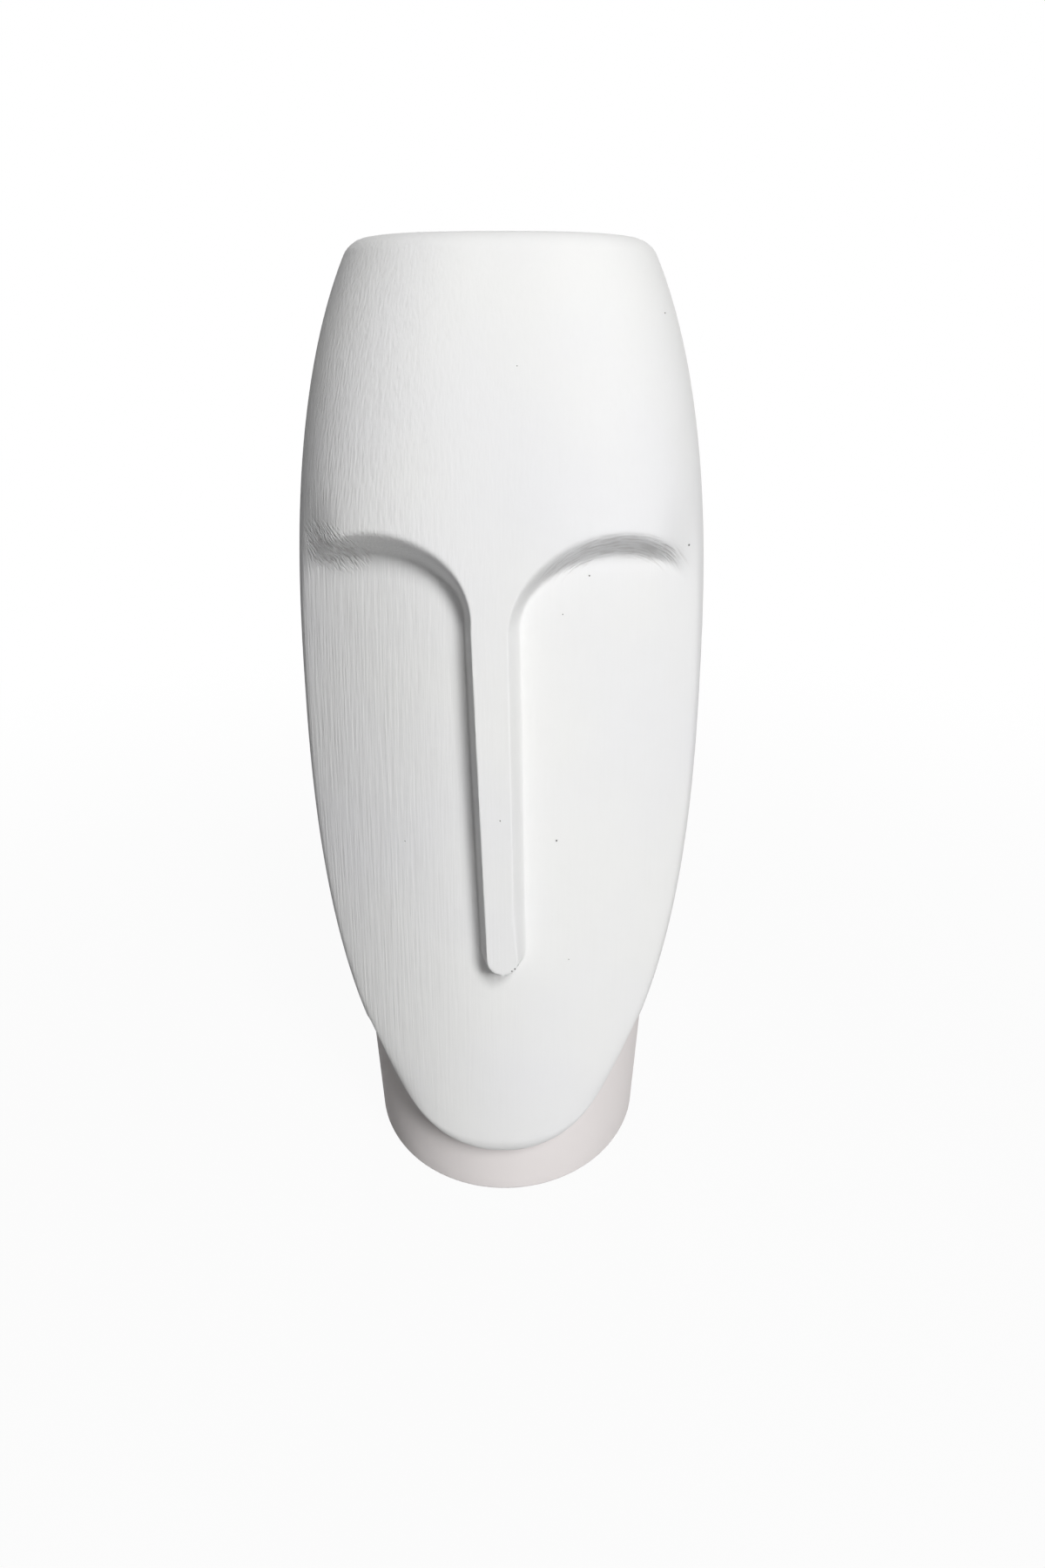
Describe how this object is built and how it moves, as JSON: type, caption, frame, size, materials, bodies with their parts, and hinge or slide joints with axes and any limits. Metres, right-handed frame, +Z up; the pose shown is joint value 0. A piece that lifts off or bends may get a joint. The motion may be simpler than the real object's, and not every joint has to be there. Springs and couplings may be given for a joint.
{
  "type": "face vase",
  "caption": "Tall matte white ceramic vase in the form of a stylised head with arched brows and a long straight nose, open at the top for flowers, on a short oval neck.",
  "frame": {"origin": "middle of the vase's bounding box, on the table under the foot pads", "axes": "+Z up to the open rim, -Y out of the face, +X to the right as seen from the front"},
  "size_m": [0.1262, 0.151, 0.3],
  "materials": {
    "stoneware": "matte white, brushed slip",
    "glaze": "glossy clear white",
    "felt": "matte off-white felt"
  },
  "bodies": {
    "root": {"ceramic_body": "stoneware", "glaze_lining": "glaze", "foot_pad_front_left": "felt", "foot_pad_front_right": "felt", "foot_pad_back_left": "felt", "foot_pad_back_right": "felt"}
  },
  "joints": []
}
